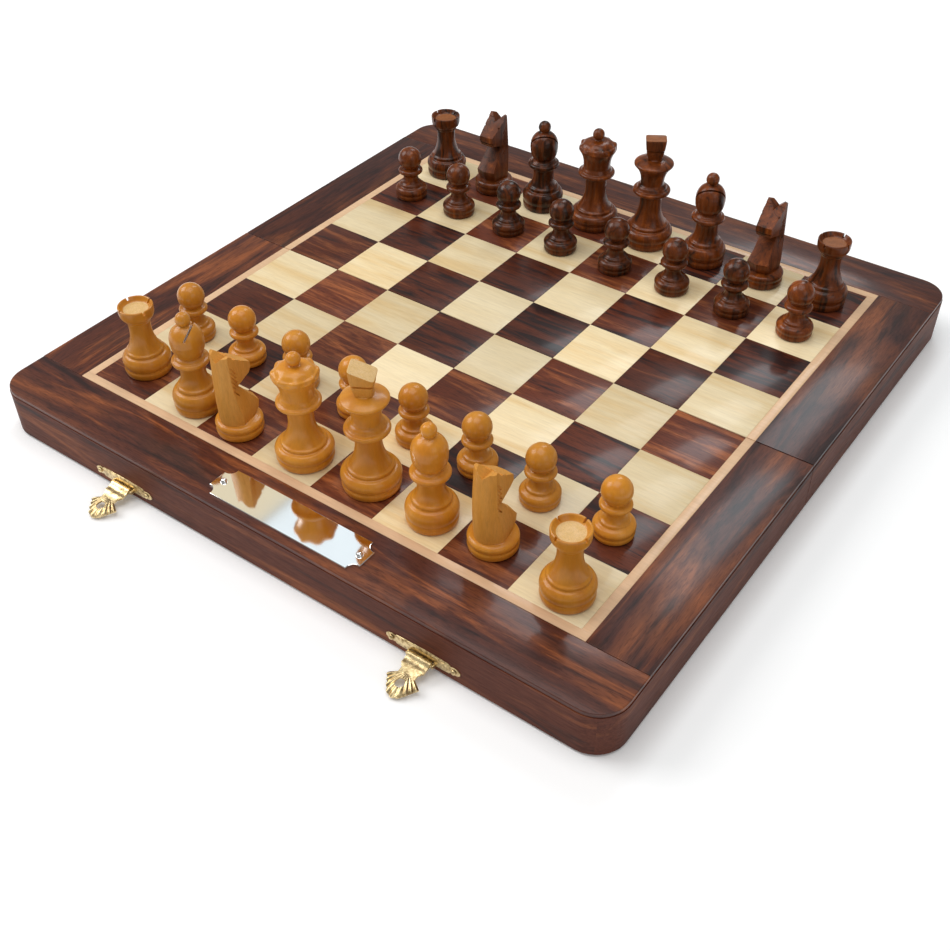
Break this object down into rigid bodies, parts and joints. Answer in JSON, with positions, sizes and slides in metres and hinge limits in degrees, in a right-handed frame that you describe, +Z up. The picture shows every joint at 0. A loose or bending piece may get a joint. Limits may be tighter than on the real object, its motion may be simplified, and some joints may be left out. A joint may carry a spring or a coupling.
{
  "type": "folding magnetic chess set",
  "caption": "Folding wooden chess board with an inlaid playing surface, brass latches and a lined case inside, opened flat with its turned magnetic pieces set up for a game.",
  "frame": {"origin": "middle of the fold axis, in the plane of the two halves' rims, which is the plane that the open board rests on", "axes": "+X along the fold from the a-file towards the h-file, -Y towards the latches and the name plate, +Z up from the rims towards the playing surface"},
  "size_m": [0.307, 0.3296, 0.0799],
  "materials": {
    "rail_rosewood": "satin lacquer",
    "border_rosewood": "semi-gloss lacquer",
    "square_rosewood": "semi-gloss lacquer",
    "pale_maple": "semi-gloss lacquer",
    "deck_plywood": "raw",
    "sheet_steel": "rolled",
    "velvet": "flocked",
    "boxwood": "gloss lacquer",
    "piece_rosewood": "gloss lacquer",
    "felt_green": "felt",
    "brass": "stamped and lacquered",
    "mirror_plate": "polished",
    "chrome_pin": "polished"
  },
  "bodies": {
    "near_half": {"near_rails": "rail_rosewood", "near_deck": "deck_plywood", "near_steel_sheet": "sheet_steel", "near_light_squares": "pale_maple", "near_dark_squares": "square_rosewood", "near_inlay_strip": "pale_maple", "near_border": "border_rosewood", "near_insert": "velvet", "name_plate": "mirror_plate", "name_plate_pins": "chrome_pin", "latch_plates": "brass", "latch_nails": "brass", "hinge_near_leaves": "brass", "hinge_screws_near": "brass", "hinge_pins": "brass"},
    "far_half": {"far_rails": "rail_rosewood", "far_deck": "deck_plywood", "far_steel_sheet": "sheet_steel", "far_light_squares": "pale_maple", "far_dark_squares": "square_rosewood", "far_inlay_strip": "pale_maple", "far_border": "border_rosewood", "far_insert": "velvet", "catch_studs": "brass", "hinge_far_leaves": "brass", "hinge_screws_far": "brass"},
    "left_latch": {"left_latch_leaf": "brass"},
    "right_latch": {"right_latch_leaf": "brass"},
    "white_rook_a1": {"white_rook_a1": "boxwood"},
    "white_bishop_b1": {"white_bishop_b1": "boxwood"},
    "white_knight_c1": {"white_knight_c1": "boxwood"},
    "white_queen_d1": {"white_queen_d1": "boxwood"},
    "white_king_e1": {"white_king_e1": "boxwood"},
    "white_bishop_f1": {"white_bishop_f1": "boxwood"},
    "white_knight_g1": {"white_knight_g1": "boxwood"},
    "white_rook_h1": {"white_rook_h1": "boxwood"},
    "white_pawn_a2": {"white_pawn_a2": "boxwood"},
    "white_pawn_b2": {"white_pawn_b2": "boxwood"},
    "white_pawn_c2": {"white_pawn_c2": "boxwood"},
    "white_pawn_d2": {"white_pawn_d2": "boxwood"},
    "white_pawn_e2": {"white_pawn_e2": "boxwood"},
    "white_pawn_f2": {"white_pawn_f2": "boxwood"},
    "white_pawn_g2": {"white_pawn_g2": "boxwood"},
    "white_pawn_h2": {"white_pawn_h2": "boxwood"},
    "dark_rook_a8": {"dark_rook_a8": "piece_rosewood"},
    "dark_knight_b8": {"dark_knight_b8": "piece_rosewood"},
    "dark_bishop_c8": {"dark_bishop_c8": "piece_rosewood"},
    "dark_queen_d8": {"dark_queen_d8": "piece_rosewood"},
    "dark_king_e8": {"dark_king_e8": "piece_rosewood"},
    "dark_bishop_f8": {"dark_bishop_f8": "piece_rosewood"},
    "dark_knight_g8": {"dark_knight_g8": "piece_rosewood"},
    "dark_rook_h8": {"dark_rook_h8": "piece_rosewood"},
    "dark_pawn_a7": {"dark_pawn_a7": "piece_rosewood"},
    "dark_pawn_b7": {"dark_pawn_b7": "piece_rosewood"},
    "dark_pawn_c7": {"dark_pawn_c7": "piece_rosewood"},
    "dark_pawn_d7": {"dark_pawn_d7": "piece_rosewood"},
    "dark_pawn_e7": {"dark_pawn_e7": "piece_rosewood"},
    "dark_pawn_f7": {"dark_pawn_f7": "piece_rosewood"},
    "dark_pawn_g7": {"dark_pawn_g7": "piece_rosewood"},
    "dark_pawn_h7": {"dark_pawn_h7": "piece_rosewood"}
  },
  "joints": [
    {"name": "board_fold", "type": "hinge", "parent": "near_half", "child": "far_half", "pos_m": [0, 0, 0], "axis": [-1, 0, 0], "range_deg": [0, 180]},
    {"name": "left_latch_swing", "type": "hinge", "parent": "near_half", "child": "left_latch", "pos_m": [-0.0775, -0.1554, 0.0036], "axis": [1, 0, 0], "range_deg": [-95, 81]},
    {"name": "right_latch_swing", "type": "hinge", "parent": "near_half", "child": "right_latch", "pos_m": [0.0775, -0.1554, 0.0036], "axis": [1, 0, 0], "range_deg": [-95, 81]},
    {"name": "lift_white_rook_a1", "type": "slide", "parent": "near_half", "child": "white_rook_a1", "axis": [0, 0, 1], "range_m": [0, 0.06]},
    {"name": "lift_white_bishop_b1", "type": "slide", "parent": "near_half", "child": "white_bishop_b1", "axis": [0, 0, 1], "range_m": [0, 0.06]},
    {"name": "lift_white_knight_c1", "type": "slide", "parent": "near_half", "child": "white_knight_c1", "axis": [0, 0, 1], "range_m": [0, 0.06]},
    {"name": "lift_white_queen_d1", "type": "slide", "parent": "near_half", "child": "white_queen_d1", "axis": [0, 0, 1], "range_m": [0, 0.06]},
    {"name": "lift_white_king_e1", "type": "slide", "parent": "near_half", "child": "white_king_e1", "axis": [0, 0, 1], "range_m": [0, 0.06]},
    {"name": "lift_white_bishop_f1", "type": "slide", "parent": "near_half", "child": "white_bishop_f1", "axis": [0, 0, 1], "range_m": [0, 0.06]},
    {"name": "lift_white_knight_g1", "type": "slide", "parent": "near_half", "child": "white_knight_g1", "axis": [0, 0, 1], "range_m": [0, 0.06]},
    {"name": "lift_white_rook_h1", "type": "slide", "parent": "near_half", "child": "white_rook_h1", "axis": [0, 0, 1], "range_m": [0, 0.06]},
    {"name": "lift_white_pawn_a2", "type": "slide", "parent": "near_half", "child": "white_pawn_a2", "axis": [0, 0, 1], "range_m": [0, 0.06]},
    {"name": "lift_white_pawn_b2", "type": "slide", "parent": "near_half", "child": "white_pawn_b2", "axis": [0, 0, 1], "range_m": [0, 0.06]},
    {"name": "lift_white_pawn_c2", "type": "slide", "parent": "near_half", "child": "white_pawn_c2", "axis": [0, 0, 1], "range_m": [0, 0.06]},
    {"name": "lift_white_pawn_d2", "type": "slide", "parent": "near_half", "child": "white_pawn_d2", "axis": [0, 0, 1], "range_m": [0, 0.06]},
    {"name": "lift_white_pawn_e2", "type": "slide", "parent": "near_half", "child": "white_pawn_e2", "axis": [0, 0, 1], "range_m": [0, 0.06]},
    {"name": "lift_white_pawn_f2", "type": "slide", "parent": "near_half", "child": "white_pawn_f2", "axis": [0, 0, 1], "range_m": [0, 0.06]},
    {"name": "lift_white_pawn_g2", "type": "slide", "parent": "near_half", "child": "white_pawn_g2", "axis": [0, 0, 1], "range_m": [0, 0.06]},
    {"name": "lift_white_pawn_h2", "type": "slide", "parent": "near_half", "child": "white_pawn_h2", "axis": [0, 0, 1], "range_m": [0, 0.06]},
    {"name": "lift_dark_rook_a8", "type": "slide", "parent": "far_half", "child": "dark_rook_a8", "axis": [0, 0, 1], "range_m": [0, 0.06]},
    {"name": "lift_dark_knight_b8", "type": "slide", "parent": "far_half", "child": "dark_knight_b8", "axis": [0, 0, 1], "range_m": [0, 0.06]},
    {"name": "lift_dark_bishop_c8", "type": "slide", "parent": "far_half", "child": "dark_bishop_c8", "axis": [0, 0, 1], "range_m": [0, 0.06]},
    {"name": "lift_dark_queen_d8", "type": "slide", "parent": "far_half", "child": "dark_queen_d8", "axis": [0, 0, 1], "range_m": [0, 0.06]},
    {"name": "lift_dark_king_e8", "type": "slide", "parent": "far_half", "child": "dark_king_e8", "axis": [0, 0, 1], "range_m": [0, 0.06]},
    {"name": "lift_dark_bishop_f8", "type": "slide", "parent": "far_half", "child": "dark_bishop_f8", "axis": [0, 0, 1], "range_m": [0, 0.06]},
    {"name": "lift_dark_knight_g8", "type": "slide", "parent": "far_half", "child": "dark_knight_g8", "axis": [0, 0, 1], "range_m": [0, 0.06]},
    {"name": "lift_dark_rook_h8", "type": "slide", "parent": "far_half", "child": "dark_rook_h8", "axis": [0, 0, 1], "range_m": [0, 0.06]},
    {"name": "lift_dark_pawn_a7", "type": "slide", "parent": "far_half", "child": "dark_pawn_a7", "axis": [0, 0, 1], "range_m": [0, 0.06]},
    {"name": "lift_dark_pawn_b7", "type": "slide", "parent": "far_half", "child": "dark_pawn_b7", "axis": [0, 0, 1], "range_m": [0, 0.06]},
    {"name": "lift_dark_pawn_c7", "type": "slide", "parent": "far_half", "child": "dark_pawn_c7", "axis": [0, 0, 1], "range_m": [0, 0.06]},
    {"name": "lift_dark_pawn_d7", "type": "slide", "parent": "far_half", "child": "dark_pawn_d7", "axis": [0, 0, 1], "range_m": [0, 0.06]},
    {"name": "lift_dark_pawn_e7", "type": "slide", "parent": "far_half", "child": "dark_pawn_e7", "axis": [0, 0, 1], "range_m": [0, 0.06]},
    {"name": "lift_dark_pawn_f7", "type": "slide", "parent": "far_half", "child": "dark_pawn_f7", "axis": [0, 0, 1], "range_m": [0, 0.06]},
    {"name": "lift_dark_pawn_g7", "type": "slide", "parent": "far_half", "child": "dark_pawn_g7", "axis": [0, 0, 1], "range_m": [0, 0.06]},
    {"name": "lift_dark_pawn_h7", "type": "slide", "parent": "far_half", "child": "dark_pawn_h7", "axis": [0, 0, 1], "range_m": [0, 0.06]}
  ]
}
